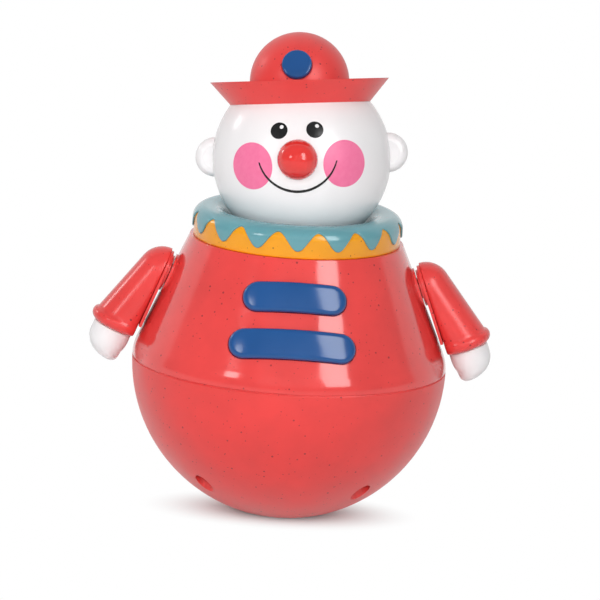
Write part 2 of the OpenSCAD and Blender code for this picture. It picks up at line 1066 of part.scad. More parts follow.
// Back plate with its hub and the axle that turns in the shoulder boss
module arm_plate(side) {
    color(coral)
        at_arm(side)
            difference() {
                union() {
                    translate([arm_gap, 0, 0])
                        rotate([90, 0, 90])
                            linear_extrude(plate_t)
                                plate_outline(plate_inset);
                    axle_bar(hub_r, arm_gap - hub_h, arm_gap + plate_t / 2);
                    axle_bar(axle_r, -shoulder_boss_in - stem_lift, arm_gap + plate_t / 2);
                }
                axle_bar(screw_r + fit, -shoulder_boss_in - stem_lift - cut, screw_grip - shoulder_boss_in);
            }
}

// Sleeve before it is hollowed: round shoulder that flares to the cuff, drawn in by a depth
module sleeve_form(depth) {
    hull() {
        translate([arm_gap + shoulder_rise, 0, 0])
            sphere(shoulder_r - depth, $fn = hull_fn);
        translate([cuff_centre, 0, -cuff_reach])
            cylinder(r = cuff_r - cuff_roll - depth, h = cuff_w / 2, $fn = 2 * hull_fn);
    }
}

// Space in front of a plane, from a height above the end of the cuff
module sleeve_room(from, rise) {
    translate([from, -2 * cuff_r, rise - cuff_reach])
        cube([2 * cuff_reach, 4 * cuff_r, 2 * cuff_reach]);
}

// Rolled cuff at the end of the sleeve
module cuff_roll_ring() {
    translate([cuff_centre, 0, -cuff_reach + cuff_w / 2])
        rotate_extrude()
            translate([cuff_r - cuff_w / 2, 0])
                circle(cuff_w / 2);
}

// Flared hollow sleeve with a bore in its cuff that takes the wrist of the hand
module sleeve(side) {
    color(coral)
        at_arm(side)
            intersection() {
                difference() {
                    union() {
                        sleeve_form(0);
                        cuff_roll_ring();
                    }
                    intersection() {
                        sleeve_form(sleeve_wall);
                        sleeve_room(0, wrist_in);
                    }
                    translate([cuff_centre, 0, -cuff_reach - cut])
                        cylinder(r = wrist_r + play, h = wrist_in + 2 * cut);
                }
                sleeve_room(arm_gap + plate_t, -cuff_w);
            }
}

// Mitten hand with its wrist in the cuff
module hand(side) {
    front = arm_gap + plate_t + fit;
    color(white)
        at_arm(side) {
            difference() {
                hull() {
                    translate([palm_centre, 0, palm_r - hand_reach + finger_r / 4])
                        sphere(palm_r, $fn = hull_fn);
                    for (y = [-1, 1])
                        translate([hand_back + finger_in + finger_r, y * finger_spread, finger_r - hand_reach])
                            sphere(finger_r, $fn = hull_fn);
                    translate([palm_centre, 0, -cuff_reach - play - fit])
                        cylinder(r = hand_width, h = fit, $fn = 2 * hull_fn);
                }
                translate([hand_back - 2 * hand_width, -2 * hand_width, -2 * hand_reach])
                    cube([2 * hand_width, 4 * hand_width, 4 * hand_reach]);
                translate([0, -2 * hand_width, -cuff_reach - play - fit / 2])
                    cube([4 * hand_width, 4 * hand_width, 2 * hand_width]);
            }
            intersection() {
                translate([cuff_centre, 0, -cuff_reach - play - fit])
                    cylinder(r = wrist_r, h = wrist_in + play + fit);
                translate([front, -2 * wrist_r, -2 * hand_reach])
                    cube([4 * wrist_r, 4 * wrist_r, 4 * hand_reach]);
            }
        }
}

module axle_washer(side) {
    in = -shoulder_boss_in - stem_lift;
    color(steel)
        at_arm(side)
            difference() {
                axle_bar(axle_washer_r, in - washer_t, in);
                axle_bar(screw_r + play / 2, in - washer_t - cut, in + cut);
            }
}

module axle_screw(side) {
    color(steel)
        at_arm(side)
            translate([-shoulder_boss_in - stem_lift - washer_t, 0, 0])
                rotate([0, 90, 0])
                    screw(screw_grip);
}

module left_arm_plate() { arm_plate(1); }
module left_sleeve() { sleeve(1); }
module left_hand() { hand(1); }
module left_axle_washer() { axle_washer(1); }
module left_axle_screw() { axle_screw(1); }
module right_arm_plate() { arm_plate(-1); }
module right_sleeve() { sleeve(-1); }
module right_hand() { hand(-1); }
module right_axle_washer() { axle_washer(-1); }
module right_axle_screw() { axle_screw(-1); }

base_shell();
body_shell();
case_screws();
ballast_weight();
chime_stand();
chime_stand_screws();
chime_rods();
striker_pin();
striker();
upper_chest_pad();
lower_chest_pad();
collar_ring();
collar_cap();
collar_screws();
neck_stem();
neck_washer();
neck_screw();
head_front();
head_back();
nose();
eye_prints();
cheek_prints();
smile_print();
hat();
hat_button();
left_arm_plate();
left_sleeve();
left_hand();
left_axle_washer();
left_axle_screw();
right_arm_plate();
right_sleeve();
right_hand();
right_axle_washer();
right_axle_screw();
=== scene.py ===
import bpy
import math
from mathutils import Matrix, Vector


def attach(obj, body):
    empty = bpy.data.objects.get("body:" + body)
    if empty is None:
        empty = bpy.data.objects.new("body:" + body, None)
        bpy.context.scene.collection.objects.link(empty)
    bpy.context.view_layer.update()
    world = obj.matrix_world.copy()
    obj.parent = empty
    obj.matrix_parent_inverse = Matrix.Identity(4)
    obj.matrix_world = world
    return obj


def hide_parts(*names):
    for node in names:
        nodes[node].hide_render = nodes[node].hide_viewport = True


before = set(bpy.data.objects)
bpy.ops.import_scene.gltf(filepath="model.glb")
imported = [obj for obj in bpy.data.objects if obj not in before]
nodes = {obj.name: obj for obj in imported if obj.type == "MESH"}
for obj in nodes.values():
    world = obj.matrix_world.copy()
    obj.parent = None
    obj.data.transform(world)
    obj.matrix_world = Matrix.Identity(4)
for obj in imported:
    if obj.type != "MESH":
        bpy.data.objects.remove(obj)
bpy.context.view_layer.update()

# Ballast: a disc of grey iron cast in sand, which sits low in the base and brings the toy upright.
# It keeps the grain of the sand and a dark skin from the pour.


def linear(hex_colour):
    """Linear RGBA of an sRGB hex colour."""
    channels = [int(hex_colour[i:i + 2], 16) / 255 for i in (1, 3, 5)]
    return [c / 12.92 if c <= 0.04045 else ((c + 0.055) / 1.055) ** 2.4 for c in channels] + [1.0]


def put(tree, kind, inputs=None, **settings):
    """Adds one shader node with its settings, and with values or links on its inputs."""
    node = tree.nodes.new(kind)
    for name, value in settings.items():
        setattr(node, name, value)
    for name, value in (inputs or {}).items():
        if isinstance(value, bpy.types.NodeSocket):
            tree.links.new(value, node.inputs[name])
        else:
            node.inputs[name].default_value = value
    return node


def new_material(name):
    """An empty node material, and its tree to fill."""
    made = bpy.data.materials.new(name)
    made.use_nodes = True
    made.node_tree.nodes.clear()
    return made, made.node_tree


def per_mm(size):
    """Texture scale for a pattern whose cells are this many millimetres wide."""
    return 1000 / size


def dress(material, *names):
    """Gives CAD nodes a material all over."""
    for name in names:
        mesh = nodes[name].data
        mesh.materials.clear()
        mesh.materials.append(material)


# Sand grains of 0.8 mm give the casting a dull, pitted skin.
cast_iron, tree = new_material("grey_iron_sand_cast")
place = put(tree, "ShaderNodeTexCoord").outputs["Object"]
grain = put(tree, "ShaderNodeTexNoise", {"Vector": place, "Scale": per_mm(0.8), "Detail": 4.0})
scale_skin = put(tree, "ShaderNodeTexNoise", {"Vector": place, "Scale": per_mm(9), "Detail": 3.0})
iron_tone = put(tree, "ShaderNodeMix", {"Factor": scale_skin.outputs["Fac"], "A": linear("#3B3C40"),
                                        "B": linear("#5C5A58")}, data_type="RGBA")
iron_rough = put(tree, "ShaderNodeMapRange", {"Value": grain.outputs["Fac"], "To Min": 0.5, "To Max": 0.8})
iron_bump = put(tree, "ShaderNodeBump", {"Strength": 0.5, "Distance": 0.0003, "Height": grain.outputs["Fac"]})
shader = put(tree, "ShaderNodeBsdfPrincipled", {"Base Color": iron_tone.outputs["Result"], "Metallic": 0.9,
                                                "Roughness": iron_rough.outputs["Result"],
                                                "Normal": iron_bump.outputs["Normal"]})
put(tree, "ShaderNodeOutputMaterial", {"Surface": shader.outputs["BSDF"]})
dress(cast_iron, "ballast_weight")

# Chime: six steel rods cut from bright bar, on a stand moulded in unpigmented plastic,
# with a striker that swings between them on a steel pin.

# Unpigmented polypropylene is milky: light goes in a little way, and flow clouds show.
natural_plastic, tree = new_material("polypropylene_natural_moulded")
place = put(tree, "ShaderNodeTexCoord").outputs["Object"]
flow = put(tree, "ShaderNodeTexNoise", {"Vector": place, "Scale": per_mm(12), "Detail": 3.0})
milk = put(tree, "ShaderNodeMix", {"Factor": flow.outputs["Fac"], "A": linear("#D9D5C8"),
                                   "B": linear("#EFEBDF")}, data_type="RGBA")
milk_rough = put(tree, "ShaderNodeMapRange", {"Value": flow.outputs["Fac"], "To Min": 0.3, "To Max": 0.45})
shader = put(tree, "ShaderNodeBsdfPrincipled", {"Base Color": milk.outputs["Result"], "IOR": 1.49,
                                                "Roughness": milk_rough.outputs["Result"],
                                                "Subsurface Weight": 0.2, "Subsurface Scale": 0.002})
put(tree, "ShaderNodeOutputMaterial", {"Surface": shader.outputs["BSDF"]})
dress(natural_plastic, "chime_stand", "striker")

# Bright drawn steel shows fine die lines; they are drawn 0.3 mm apart so that they show.
drawn_steel, tree = new_material("carbon_steel_bright_drawn")
place = put(tree, "ShaderNodeTexCoord").outputs["Object"]
streaks = put(tree, "ShaderNodeTexNoise", {"Vector": place, "Scale": per_mm(0.3), "Detail": 2.0})
steel_tone = put(tree, "ShaderNodeMix", {"Factor": streaks.outputs["Fac"], "A": linear("#A9ABAF"),
                                         "B": linear("#C9CACC")}, data_type="RGBA")
steel_rough = put(tree, "ShaderNodeMapRange", {"Value": streaks.outputs["Fac"], "To Min": 0.18, "To Max": 0.34})
shader = put(tree, "ShaderNodeBsdfPrincipled", {"Base Color": steel_tone.outputs["Result"], "Metallic": 1.0,
                                                "Roughness": steel_rough.outputs["Result"]})
put(tree, "ShaderNodeOutputMaterial", {"Surface": shader.outputs["BSDF"]})
dress(drawn_steel, "chime_rods", "striker_pin")

# Screws and washers: cold-headed steel with a thin zinc plate, driven from below and from inside.
# Zinc has a faint blue and yellow bloom over a fine matt grain.
zinc_plate, tree = new_material("steel_zinc_plated")
place = put(tree, "ShaderNodeTexCoord").outputs["Object"]
bloom = put(tree, "ShaderNodeTexNoise", {"Vector": place, "Scale": per_mm(3), "Detail": 2.0})
zinc_tone = put(tree, "ShaderNodeMix", {"Factor": bloom.outputs["Fac"], "A": linear("#AEB6C2"),
                                        "B": linear("#C9C3AE")}, data_type="RGBA")
zinc_rough = put(tree, "ShaderNodeMapRange", {"Value": bloom.outputs["Fac"], "To Min": 0.28, "To Max": 0.42})
shader = put(tree, "ShaderNodeBsdfPrincipled", {"Base Color": zinc_tone.outputs["Result"], "Metallic": 1.0,
                                                "Roughness": zinc_rough.outputs["Result"]})
put(tree, "ShaderNodeOutputMaterial", {"Surface": shader.outputs["BSDF"]})
dress(zinc_plate, "case_screws", "chime_stand_screws", "collar_screws", "neck_washer", "neck_screw",
      "left_axle_washer", "left_axle_screw", "right_axle_washer", "right_axle_screw")

# Base shell: the round lower half of the case, with four deep wells for the screws that close it.
# It is moulded in coral plastic filled with plant fibre, and its mould was left satin.
cloud_mm = 14
texture_mm = 5
edge_soft = 0.00025


def fibre_plastic(name, colour, fleck, flecks, rough, coat):
    """Moulded plastic with plant fibre. A kind of fleck has a gap and a size in mm, a share and a strength."""
    made, tree = new_material(name)
    place = put(tree, "ShaderNodeTexCoord").outputs["Object"]
    clouds = put(tree, "ShaderNodeTexNoise", {"Vector": place, "Scale": per_mm(cloud_mm), "Detail": 3.0})
    tone = put(tree, "ShaderNodeMapRange", {"Value": clouds.outputs["Fac"], "From Min": 0.3, "From Max": 0.7,
                                            "To Min": 0.93, "To Max": 1.04})
    cloudy = put(tree, "ShaderNodeVectorMath", {0: linear(colour)[:3], "Scale": tone.outputs["Result"]},
                 operation="SCALE")
    tinted = cloudy.outputs["Vector"]
    for gap, size, share, strength in flecks:
        cells = put(tree, "ShaderNodeTexVoronoi", {"Vector": place, "Scale": per_mm(gap)})
        chance = put(tree, "ShaderNodeSeparateColor", {"Color": cells.outputs["Color"]})
        reach = put(tree, "ShaderNodeMapRange", {"Value": chance.outputs["Red"], "From Min": 1 - share,
                                                 "To Max": size / 2 / gap})
        inside = put(tree, "ShaderNodeMath", {0: reach.outputs["Result"], 1: cells.outputs["Distance"]},
                     operation="SUBTRACT")
        mask = put(tree, "ShaderNodeMapRange", {"Value": inside.outputs["Value"], "From Max": 0.15 * size / gap,
                                                "To Max": strength})
        mixed = put(tree, "ShaderNodeMix", {"Factor": mask.outputs["Result"], "A": tinted, "B": linear(fleck)},
                    data_type="RGBA")
        tinted = mixed.outputs["Result"]
    texture = put(tree, "ShaderNodeTexNoise", {"Vector": place, "Scale": per_mm(texture_mm), "Detail": 2.0})
    sheen = put(tree, "ShaderNodeMapRange", {"Value": clouds.outputs["Fac"], "From Min": 0.3, "From Max": 0.7,
                                             "To Min": rough[0], "To Max": rough[1]})
    edges = put(tree, "ShaderNodeBevel", {"Radius": edge_soft}, samples=4)
    bump = put(tree, "ShaderNodeBump", {"Strength": 0.05, "Distance": 0.0004, "Height": texture.outputs["Fac"],
                                        "Normal": edges.outputs["Normal"]})
    shader = put(tree, "ShaderNodeBsdfPrincipled", {"Base Color": tinted, "Roughness": sheen.outputs["Result"],
                                                    "Normal": bump.outputs["Normal"], "IOR": 1.5,
                                                    "Coat Weight": coat, "Coat Roughness": 0.05})
    put(tree, "ShaderNodeOutputMaterial", {"Surface": shader.outputs["BSDF"]})
    return made


coral = "#E8403E"
coral_fleck = "#7A1C22"
coral_flecks = ((2.4, 0.9, 0.7, 0.85), (1.3, 0.55, 0.5, 0.6))
# A satin mould spreads each reflection into a soft patch.
satin_coral = fibre_plastic("fibre_filled_polypropylene_coral_satin", coral, coral_fleck, coral_flecks,
                            (0.34, 0.42), 0.0)
dress(satin_coral, "base_shell")

# Body shell: the upper half of the case, a cone that rounds into the seam, screwed down from below.
# It is the same coral plastic from a polished mould.

# A polished mould gives a wet gloss with crisp reflections.
gloss_coral = fibre_plastic("fibre_filled_polypropylene_coral_gloss", coral, coral_fleck, coral_flecks,
                            (0.10, 0.16), 0.3)
dress(gloss_coral, "body_shell")

# Chest pads: two blue bars that stand proud of pockets in the cone, pegged into it from outside.
# They are moulded solid, with a rounded edge and a faint crown.


def mesh_piece(name, points, faces, material):
    """A smooth-shaded mesh from points in millimetres, sharp only at true corners."""
    mesh = bpy.data.meshes.new(name)
    mesh.from_pydata([[c * 0.001 for c in p] for p in points], [], faces)
    mesh.validate()
    mesh.shade_smooth()
    mesh.set_sharp_from_angle(angle=math.radians(50))
    mesh.materials.append(material)
    made = bpy.data.objects.new(name, mesh)
    bpy.context.scene.collection.objects.link(made)
    return made


def skin(rings, flip, loop=False):
    """Points and faces over closed rings of one count. An end is closed between mirrored points of its ring."""
    count = len(rings[0])
    points = [p for ring in rings for p in ring]
    rows = len(rings)
    faces = []
    for j in range(rows if loop else rows - 1):
        low, high = j * count, (j + 1) % rows * count
        for i in range(count):
            k = (i + 1) % count
            faces.append((low + i, low + k, high + k, high + i))
    if not loop:
        for start, turned in ((0, True), ((rows - 1) * count, False)):
            for i in range(count // 2):
                quad = [start + i, start + i + 1, start + (count - i - 1) % count, start + (count - i) % count]
                corners = list(dict.fromkeys(quad))
                faces.append(tuple(reversed(corners) if turned else corners))
    if flip:
        faces = [tuple(reversed(f)) for f in faces]
    return points, faces


cone_tilt = math.radians(23.513)
cone_foot_z = 57.808
cone_h = 47
cone_top_r = 40
pad_half_h = 5.6
pad_proud = 2.2
pad_seat = 1.2
pad_edge_r = 1.2
pad_crown = 0.25
pad_crown_insets = (1.8, 2.6, 3.6, 4.6, 5.4)
gloss_blue = fibre_plastic("fibre_filled_polypropylene_blue_gloss", "#0F4E8E", "#0B2444",
                           ((2.6, 0.6, 0.5, 0.5), (1.4, 0.4, 0.4, 0.4)), (0.12, 0.18), 0.0)


def on_cone(x, rise, proud, height):
    """World point of a chest pad: across, up the slope from the pad's middle, and out from the cone's face."""
    c, s = math.cos(cone_tilt), math.sin(cone_tilt)
    middle_r = cone_top_r + (cone_h - height) * math.tan(cone_tilt)
    reach, k, q = middle_r - rise * s, s * s / c, proud / c
    a, b, d = c * c - k * k, 2 * reach * (c + k) + 2 * q * k, x * x - q * q - 2 * reach * q
    out = (-b + math.sqrt(b * b - 4 * a * d)) / (2 * a)
    return (x, -(reach + out * c), cone_foot_z + height + rise * c + out * s)


def chest_pad(name, width, height, node):
    """One crowned bar with round ends, in place of its CAD node."""
    straight = width / 2 - pad_half_h
    steps = [(0, -pad_seat), (0, pad_proud - pad_edge_r)]
    for i in range(1, 7):
        a = math.radians(15 * i)
        steps.append((pad_edge_r * (1 - math.cos(a)), pad_proud - pad_edge_r * (1 - math.sin(a))))
    steps += [(inset, pad_proud) for inset in pad_crown_insets]
    rings = []
    for inset, proud in steps:
        r = pad_half_h - inset
        quarter = [math.radians(7.5 * i) for i in range(13)]
        outline = [(straight + r * math.cos(a), r * math.sin(a)) for a in quarter]
        outline += [(straight * (1 - i / 12), r) for i in range(1, 13)]
        half = outline + [(-x, z) for x, z in reversed(outline[:-1])]
        ring = half + [(x, -z) for x, z in reversed(half[1:-1])]
        lift = pad_crown * (1 - (r / pad_half_h) ** 2) if proud == pad_proud else 0
        rings.append([on_cone(x, z, proud + lift, height) for x, z in ring])
    piece = mesh_piece(name, *skin(rings, False), gloss_blue)
    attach(piece, "case")
    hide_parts(node)


chest_pad("upper_chest_pad_crowned", 38.2, 33.8, "upper_chest_pad")
chest_pad("lower_chest_pad_crowned", 46.8, 17.6, "lower_chest_pad")

# Collar ring: a yellow ring that sits on the deck of the cone and is held by three screws from inside.
# It is moulded plastic and shows between the drops of the cap.

# Yellow carries the fibre most plainly: close brown flecks on a glossy skin.
gloss_yellow = fibre_plastic("fibre_filled_polypropylene_yellow_gloss", "#F3A106", "#7A3E0C",
                             ((1.8, 0.7, 0.7, 0.8), (1.2, 0.45, 0.5, 0.6)), (0.14, 0.22), 0.0)
deck_z = 104.808
collar_r = 39.4
collar_h = 11.4
collar_round_r = 5
cap_t = 0.6
ring_fit = 0.05
ring_in_r = 33.2
ring_edge_r = 0.3
ring_steps = 240
side_steps = 20


def collar_side(length, depth):
    """Point of the collar's side, by length from its foot up over the round, at a depth under the skin."""
    foot = collar_h - collar_round_r
    if length <= foot:
        return collar_r - depth, length
    a = min((length - foot) / collar_round_r, math.pi / 2)
    return (collar_r - collar_round_r + (collar_round_r - depth) * math.cos(a),
            foot + (collar_round_r - depth) * math.sin(a))


def turned(sections):
    """Rings of points from closed sections of radius and height, set at even steps round the toy."""
    count = len(sections)
    turns = [2 * math.pi * i / count - math.pi / 2 for i in range(count)]
    return [[(r * math.cos(t), r * math.sin(t), deck_z + z) for r, z in section]
            for t, section in zip(turns, sections)]


under_cap = cap_t + ring_fit
side_length = collar_h - collar_round_r + collar_round_r * math.pi / 2
section = [(ring_in_r, 0)]
for i in range(5):
    a = math.radians(22.5 * i)
    section.append((collar_r - under_cap - ring_edge_r * (1 - math.sin(a)), ring_edge_r * (1 - math.cos(a))))
side_step = (side_length - ring_edge_r) / side_steps
section += [collar_side(ring_edge_r + side_step * i, under_cap) for i in range(1, side_steps + 1)]
section.append((ring_in_r, collar_h - under_cap))
collar_ring = mesh_piece("collar_ring_moulded", *skin(turned([section] * ring_steps), True, loop=True),
                         gloss_yellow)
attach(collar_ring, "case")
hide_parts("collar_ring")

# Collar cap: a teal cap that hangs over the ring in sixteen round drops like icing.
# It is moulded plastic, snapped over the ring, with soft edges and a bowl in its top for the head.
drop_count = 16
drop_steps = 30
drop_tip_h = 2.7
drop_crest_h = 9.8
drop_edge_r = 0.5
bowl_centre_h = 30.5
bowl_r = 34.9
bowl_wall = 2
bowl_lip_h = 4
bowl_edge_h = 10.2
bowl_top_h = 9.8
rim_in_r = 33.2
rim_round = ((31.9, 11.36), (30.9, 11.2), (30.0, 10.88), (29.2, 10.4))
gloss_teal = fibre_plastic("fibre_filled_polypropylene_teal_gloss", "#629EA8", "#2C4E58",
                           ((2.2, 0.6, 0.5, 0.5), (1.3, 0.4, 0.4, 0.4)), (0.14, 0.22), 0.25)


def drop_edge(turn):
    """Height of the cap's edge, a wave that is turned through once for each drop."""
    middle, swing = (drop_crest_h + drop_tip_h) / 2, (drop_crest_h - drop_tip_h) / 2
    return middle + swing * math.cos(turn)


def collar_section(turn):
    """Closed section of the cap at one turn of the wave: skirt, round, top, bowl and the underside."""
    foot = collar_h - collar_round_r
    edge = drop_edge(turn)
    start = edge if edge <= foot else foot + collar_round_r * math.asin((edge - foot) / collar_round_r)
    end = foot + collar_round_r * math.pi / 2
    section = [collar_side(start, cap_t)]
    for i in range(6):
        a = math.radians(18 * i)
        section.append(collar_side(start + drop_edge_r * (1 - math.cos(a)), drop_edge_r * (1 - math.sin(a))))
    first = start + drop_edge_r
    section += [collar_side(first + (end - first) * i / 16, 0) for i in range(17)]
    section += [(rim_in_r, collar_h), *rim_round]
    for i in range(9):
        z = bowl_top_h + (bowl_lip_h - bowl_top_h) * i / 8
        section.append((math.sqrt(bowl_r ** 2 - (bowl_centre_h - z) ** 2), z))
    for i in range(7):
        z = bowl_lip_h + (bowl_edge_h - bowl_lip_h) * i / 6
        section.append((math.sqrt((bowl_r + bowl_wall) ** 2 - (bowl_centre_h - z) ** 2), z))
    section.append((rim_in_r, collar_h - cap_t))
    section += [collar_side(end + (start - end) * i / 10, cap_t) for i in range(10)]
    return section


sections = [collar_section(2 * math.pi * (i / drop_steps - 0.5)) for i in range(drop_steps)] * drop_count
collar_cap = mesh_piece("collar_cap_icing", *skin(turned(sections), True, loop=True), gloss_teal)
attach(collar_cap, "case")
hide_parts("collar_cap")

# Neck stem: a post with a ball on top, which turns in the deck and lets the head turn and nod.
# It is moulded in the unpigmented plastic of the chime stand.
dress(natural_plastic, "neck_stem")

# Head: a white ball with two ears, moulded as a face half and a back half and welded through the ears.
# The ball closes over the neck and rests above the bowl of the collar.

# White ABS is dense and bright, with a soft gloss and hardly any grain.
white_plastic, tree = new_material("abs_white_moulded")
place = put(tree, "ShaderNodeTexCoord").outputs["Object"]
depth_clouds = put(tree, "ShaderNodeTexNoise", {"Vector": place, "Scale": per_mm(18), "Detail": 2.0})
white_tone = put(tree, "ShaderNodeMix", {"Factor": depth_clouds.outputs["Fac"], "A": linear("#EFEDEE"),
                                         "B": linear("#F5F3F4")}, data_type="RGBA")
white_skin = put(tree, "ShaderNodeTexNoise", {"Vector": place, "Scale": per_mm(4), "Detail": 2.0})
white_rough = put(tree, "ShaderNodeMapRange", {"Value": depth_clouds.outputs["Fac"],
                                               "To Min": 0.2, "To Max": 0.27})
white_bump = put(tree, "ShaderNodeBump", {"Strength": 0.04, "Distance": 0.0004,
                                          "Height": white_skin.outputs["Fac"]})
shader = put(tree, "ShaderNodeBsdfPrincipled", {"Base Color": white_tone.outputs["Result"], "IOR": 1.53,
                                                "Roughness": white_rough.outputs["Result"],
                                                "Normal": white_bump.outputs["Normal"]})
put(tree, "ShaderNodeOutputMaterial", {"Surface": shader.outputs["BSDF"]})
dress(white_plastic, "head_front", "head_back")

# Nose: a red ball with a peg, pressed into a hole in the face.
# It is moulded plastic without fibre, polished.

# Plain ABS from a polished mould: even red, mirror gloss, a trace of mould texture.
nose_plastic = fibre_plastic("abs_red_polished", "#E5302C", "#B02024", ((2.4, 0.5, 0.2, 0.25),),
                             (0.10, 0.16), 0.3)
dress(nose_plastic, "nose")

# Face prints: eyes, cheeks and smile, laid on the ball by pad printing.
# The ink is a thin matt film that follows the surface.


def pad_ink(name, dark, light, rough):
    """Pad-printed ink: an even film with faint pooling, drawn as clouds of 2 mm so that it shows."""
    made, tree = new_material(name)
    place = put(tree, "ShaderNodeTexCoord").outputs["Object"]
    pooling = put(tree, "ShaderNodeTexNoise", {"Vector": place, "Scale": per_mm(2), "Detail": 3.0})
    tone = put(tree, "ShaderNodeMix", {"Factor": pooling.outputs["Fac"], "A": linear(dark), "B": linear(light)},
               data_type="RGBA")
    film = put(tree, "ShaderNodeMapRange", {"Value": pooling.outputs["Fac"], "To Min": rough - 0.06,
                                            "To Max": rough + 0.06})
    shader = put(tree, "ShaderNodeBsdfPrincipled", {"Base Color": tone.outputs["Result"], "IOR": 1.48,
                                                    "Roughness": film.outputs["Result"]})
    put(tree, "ShaderNodeOutputMaterial", {"Surface": shader.outputs["BSDF"]})
    return made


# Black ink keeps a little gloss; pink ink is softer.
dress(pad_ink("pad_print_ink_black", "#060607", "#121214", 0.22), "eye_prints", "smile_print")
dress(pad_ink("pad_print_ink_pink", "#EE6A98", "#F57FA8", 0.4), "cheek_prints")

# Hat: a coral cap with a flared brim, plugged into the crown of the head with a hollow spigot.
# It is moulded in the satin coral plastic of the base.
dress(satin_coral, "hat")

# Hat button: a blue disc with a faintly domed face, pressed into a recess in the front of the hat.
# It is moulded in the blue plastic of the chest pads.
head_z = 135.308
head_turns = (-9.5, -5.5, -2.7)
crown_h = 28.65
crown_r = 18.6
button_up = 6.5
button_r = 5.6
button_seat = 1.3
button_proud = 1.1
button_edge_r = 0.7
button_dome = 0.35
button_steps = 64


def spun(profile, count):
    """Rings of a turned form, from radius and height."""
    return [[(r * math.cos(2 * math.pi * i / count), r * math.sin(2 * math.pi * i / count), h)
             for i in range(count)] for r, h in profile]


profile = [(button_r, -button_seat), (button_r, button_proud - button_edge_r - button_dome)]
for i in range(1, 6):
    a = math.radians(16 * i)
    profile.append((button_r - button_edge_r * (1 - math.cos(a)),
                    button_proud - button_dome - button_edge_r * (1 - math.sin(a))))
profile += [(button_r * f, button_proud - button_dome * f * f) for f in (0.8, 0.6, 0.4, 0.2)]
tilt, roll, yaw = (math.radians(a) for a in head_turns)
head_place = (Matrix.Translation((0, 0, head_z)) @ Matrix.Rotation(yaw, 4, "Z") @ Matrix.Rotation(roll, 4, "Y")
              @ Matrix.Rotation(tilt, 4, "X"))
button_place = (head_place @ Matrix.Translation((0, 0, crown_h))
                @ Matrix.Rotation(-math.asin(button_up / crown_r), 4, "X")
                @ Matrix.Translation((0, -crown_r, 0)) @ Matrix.Rotation(math.pi / 2, 4, "X"))
rings = [[button_place @ Vector(p) for p in ring] for ring in spun(profile, button_steps)]
hat_button = mesh_piece("hat_button_domed", *skin(rings, False), gloss_blue)
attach(hat_button, "head")
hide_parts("hat_button")

# Arm plates: the flat back of each arm with the axle that turns in the shoulder of the case.
# They are moulded in coral plastic and welded behind the sleeves.

# A worn polish: the arms shine, but their reflections are broad.
soft_coral = fibre_plastic("fibre_filled_polypropylene_coral_soft_gloss", coral, coral_fleck, coral_flecks,
                           (0.20, 0.28), 0.0)
dress(soft_coral, "left_arm_plate", "right_arm_plate")

# Sleeves: hollow flared sleeves with a rolled cuff, open at the wrist.
# They are moulded in the coral plastic of the plates and welded to them along their flat backs.
axle_x = 47.048
axle_z = 88.608
arm_tilt = cone_tilt - math.radians(2.5)
sleeve_back = 2.6
shoulder_n = 2.7
shoulder_r = 9.2
cuff_reach = 26.6
cuff_r = 10.8
cuff_w = 5.3
cuff_roll = 0.8
cuff_centre = 9.5
arm_count = 72
corner_power = 14
shoulder_angles = (2, 5, 9, 14, 20, 27, 35, 43, 51, 59, 66)
side_count = 20
crease_in = 1.99
roll_from, roll_sweep, roll_steps = -48.7, 168, 14
lip_from, lip_inset = 9, 0.25
wrist_hole_r = 6.75
wrist_hole_in = 1.3
wrist_hole_depths = (25.6, 24, 22)


def arm_ring(side, centre, out_r, half_w, back, along):
    """Ring across an arm at a length along it: an ellipse with a flat back, its corners rounded."""
    outer = centre + out_r
    middle = (max(back, centre - out_r) + outer) / 2
    ring = []
    for i in range(arm_count):
        a = 2 * math.pi * i / arm_count
        dn, dy = math.cos(a) / out_r, math.sin(a) / half_w
        off = (middle - centre) / out_r
        square = dn * dn + dy * dy
        reach = (-off * dn + math.sqrt((off * dn) ** 2 - square * (off * off - 1))) / square
        if math.cos(a) < -0.01:
            wall = (middle - back) / -math.cos(a)
            reach = (reach ** -corner_power + wall ** -corner_power) ** (-1 / corner_power)
        n, y = middle + reach * math.cos(a), reach * math.sin(a)
        ring.append((side * (axle_x + n * math.cos(arm_tilt) + along * math.sin(arm_tilt)), y,
                     axle_z + n * math.sin(arm_tilt) - along * math.cos(arm_tilt)))
    return ring


def sleeve(name, side, node, body):
    """One sleeve from its shoulder down over the cuff and back up into the wrist hole."""
    roll_r = cuff_w / 2
    roll_s = cuff_reach - roll_r
    end_r = cuff_r - cuff_roll
    crease = roll_s - crease_in
    run = cuff_centre + end_r - shoulder_n
    turn = math.atan2(roll_s, run) - math.acos(shoulder_r / math.hypot(roll_s, run))
    leave, leave_n = shoulder_r * math.sin(turn), shoulder_n + shoulder_r * math.cos(turn)
    stations = [-shoulder_r * math.cos(math.radians(a)) for a in shoulder_angles]
    stations += [leave + (crease - leave) * i / side_count for i in range(side_count + 1)]
    rings = []
    for s in stations:
        ball = math.sqrt(max(shoulder_r ** 2 - s ** 2, 0))
        half_w = ball if s < 0 else shoulder_r + (end_r - shoulder_r) * s / roll_s
        if s <= leave:
            outer = shoulder_n + ball
        else:
            outer = leave_n + (cuff_centre + end_r - leave_n) * (s - leave) / (roll_s - leave)
        rings.append(arm_ring(side, outer - half_w, half_w, half_w, sleeve_back, s))
    for i in range(1, roll_steps + 1):
        a = math.radians(roll_from + roll_sweep * i / roll_steps)
        r = cuff_r - roll_r + roll_r * math.cos(a)
        inset = max(i - lip_from, 0) * lip_inset
        rings.append(arm_ring(side, cuff_centre, r, r, sleeve_back + inset, roll_s + roll_r * math.sin(a)))
    for s in wrist_hole_depths:
        rings.append(arm_ring(side, cuff_centre, wrist_hole_r, wrist_hole_r, sleeve_back + wrist_hole_in, s))
    piece = mesh_piece(name, *skin(rings, side > 0), soft_coral)
    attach(piece, body)
    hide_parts(node)


